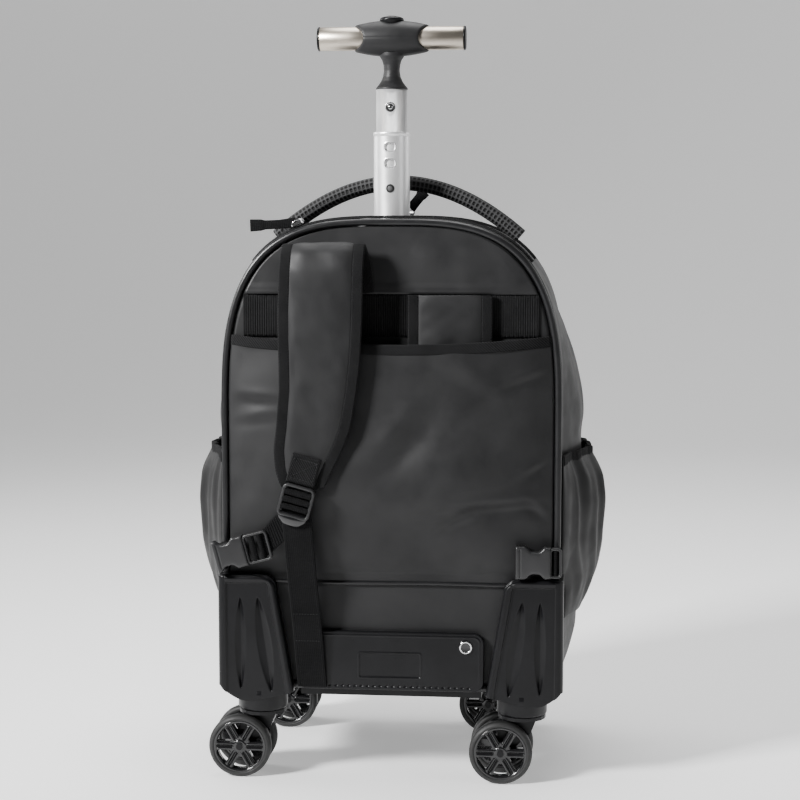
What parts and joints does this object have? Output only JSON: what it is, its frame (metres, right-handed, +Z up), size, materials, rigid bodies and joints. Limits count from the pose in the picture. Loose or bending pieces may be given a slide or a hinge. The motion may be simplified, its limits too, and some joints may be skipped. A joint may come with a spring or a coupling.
{
  "type": "wheeled backpack",
  "caption": "Soft coated-fabric backpack with padded shoulder straps, a telescoping T-handle and twin-wheel swivel casters under moulded corners",
  "frame": {"origin": "centre of the bounding box on the floor plane under the wheels", "axes": "+Z up; the shoulder straps face -Y; +X to the right as the straps side is looked at"},
  "size_m": [0.3654, 0.2468, 0.652],
  "materials": {
    "coated_fabric": "matte coated polyester with a soft sheen",
    "twill_webbing": "woven twill tape and ribbed webbing",
    "piping_vinyl": "smooth vinyl piping",
    "moulded_plastic": "satin injection-moulded plastic",
    "brushed_aluminium": "satin anodised tube",
    "grip_metal": "warm brushed aluminium",
    "soft_rubber": "soft-touch rubber",
    "bright_steel": "bright plated metal",
    "tyre_rubber": "moulded wheel with a rubber tread"
  },
  "bodies": {
    "bag": {"gusset": "coated_fabric", "back_panel": "coated_fabric", "front_panel": "coated_fabric", "strap_sleeve": "coated_fabric", "top_yoke": "coated_fabric", "shoulder_strap_left": "coated_fabric", "shoulder_strap_right": "coated_fabric", "side_pocket_left": "coated_fabric", "side_pocket_right": "coated_fabric", "grab_handle": "coated_fabric", "webbing_band": "twill_webbing", "strap_binding_left": "twill_webbing", "strap_binding_right": "twill_webbing", "strap_tab": "twill_webbing", "strap_webbing": "twill_webbing", "webbing_tail": "twill_webbing", "buckle_left_anchor": "twill_webbing", "buckle_right_anchor": "twill_webbing", "zip_coil_back": "twill_webbing", "zip_coil_main": "twill_webbing", "zip_pull_back": "twill_webbing", "zip_pull_main": "twill_webbing", "back_piping": "piping_vinyl", "front_piping": "piping_vinyl", "kick_plate": "moulded_plastic", "corner_housing_left": "moulded_plastic", "corner_housing_right": "moulded_plastic", "rear_housing_left": "moulded_plastic", "rear_housing_right": "moulded_plastic", "base_tray": "moulded_plastic", "outer_tube": "moulded_plastic", "pole_exit_ring": "moulded_plastic", "ladder_lock": "moulded_plastic", "buckle_left_female": "moulded_plastic", "buckle_left_male": "moulded_plastic", "buckle_right_female": "moulded_plastic", "rivet_left": "bright_steel", "rivet_right": "bright_steel", "zip_slider_back": "bright_steel", "zip_slider_main": "bright_steel"},
    "lower_stage": {"lower_tube": "brushed_aluminium"},
    "handle": {"upper_tube": "brushed_aluminium", "handle_core": "soft_rubber", "grip_left": "grip_metal", "grip_right": "grip_metal", "end_cap_left": "moulded_plastic", "end_cap_right": "moulded_plastic"},
    "button": {"push_button": "moulded_plastic"},
    "caster_front_left": {"caster_fork_front_left": "moulded_plastic"},
    "roller_front_left_near": {"wheel_front_left_near": "tyre_rubber"},
    "roller_front_left_far": {"wheel_front_left_far": "tyre_rubber"},
    "caster_front_right": {"caster_fork_front_right": "moulded_plastic"},
    "roller_front_right_near": {"wheel_front_right_near": "tyre_rubber"},
    "roller_front_right_far": {"wheel_front_right_far": "tyre_rubber"},
    "caster_rear_left": {"caster_fork_rear_left": "moulded_plastic"},
    "roller_rear_left_near": {"wheel_rear_left_near": "tyre_rubber"},
    "roller_rear_left_far": {"wheel_rear_left_far": "tyre_rubber"},
    "caster_rear_right": {"caster_fork_rear_right": "moulded_plastic"},
    "roller_rear_right_near": {"wheel_rear_right_near": "tyre_rubber"},
    "roller_rear_right_far": {"wheel_rear_right_far": "tyre_rubber"}
  },
  "joints": [
    {"name": "lower_tube_slide", "type": "slide", "parent": "bag", "child": "lower_stage", "axis": [0, 0, 1], "range_m": [-0.065, 0.2]},
    {"name": "upper_tube_slide", "type": "slide", "parent": "lower_stage", "child": "handle", "axis": [0, 0, 1], "range_m": [-0.034, 0.2]},
    {"name": "button_press", "type": "slide", "parent": "handle", "child": "button", "axis": [0, 0, 1], "range_m": [-0.003, 0], "stiffness_N_per_m": 1200},
    {"name": "front_left_swivel", "type": "hinge", "parent": "bag", "child": "caster_front_left", "pos_m": [-0.1125, -0.07859, 0.058], "axis": [0, 0, 1], "continuous": true},
    {"name": "front_left_near_roll", "type": "hinge", "parent": "caster_front_left", "child": "roller_front_left_near", "pos_m": [-0.13, -0.09459, 0.027], "axis": [0, 1, 0], "continuous": true},
    {"name": "front_left_far_roll", "type": "hinge", "parent": "caster_front_left", "child": "roller_front_left_far", "pos_m": [-0.13, -0.06259, 0.027], "axis": [0, 1, 0], "continuous": true},
    {"name": "front_right_swivel", "type": "hinge", "parent": "bag", "child": "caster_front_right", "pos_m": [0.1125, -0.07859, 0.058], "axis": [0, 0, 1], "continuous": true},
    {"name": "front_right_near_roll", "type": "hinge", "parent": "caster_front_right", "child": "roller_front_right_near", "pos_m": [0.095, -0.09459, 0.027], "axis": [0, 1, 0], "continuous": true},
    {"name": "front_right_far_roll", "type": "hinge", "parent": "caster_front_right", "child": "roller_front_right_far", "pos_m": [0.095, -0.06259, 0.027], "axis": [0, 1, 0], "continuous": true},
    {"name": "rear_left_swivel", "type": "hinge", "parent": "bag", "child": "caster_rear_left", "pos_m": [-0.0944, 0.07741, 0.058], "axis": [0, 0, 1], "continuous": true},
    {"name": "rear_left_near_roll", "type": "hinge", "parent": "caster_rear_left", "child": "roller_rear_left_near", "pos_m": [-0.1119, 0.06141, 0.027], "axis": [0, 1, 0], "continuous": true},
    {"name": "rear_left_far_roll", "type": "hinge", "parent": "caster_rear_left", "child": "roller_rear_left_far", "pos_m": [-0.1119, 0.09341, 0.027], "axis": [0, 1, 0], "continuous": true},
    {"name": "rear_right_swivel", "type": "hinge", "parent": "bag", "child": "caster_rear_right", "pos_m": [0.0944, 0.07741, 0.058], "axis": [0, 0, 1], "continuous": true},
    {"name": "rear_right_near_roll", "type": "hinge", "parent": "caster_rear_right", "child": "roller_rear_right_near", "pos_m": [0.0769, 0.06141, 0.027], "axis": [0, 1, 0], "continuous": true},
    {"name": "rear_right_far_roll", "type": "hinge", "parent": "caster_rear_right", "child": "roller_rear_right_far", "pos_m": [0.0769, 0.09341, 0.027], "axis": [0, 1, 0], "continuous": true}
  ]
}
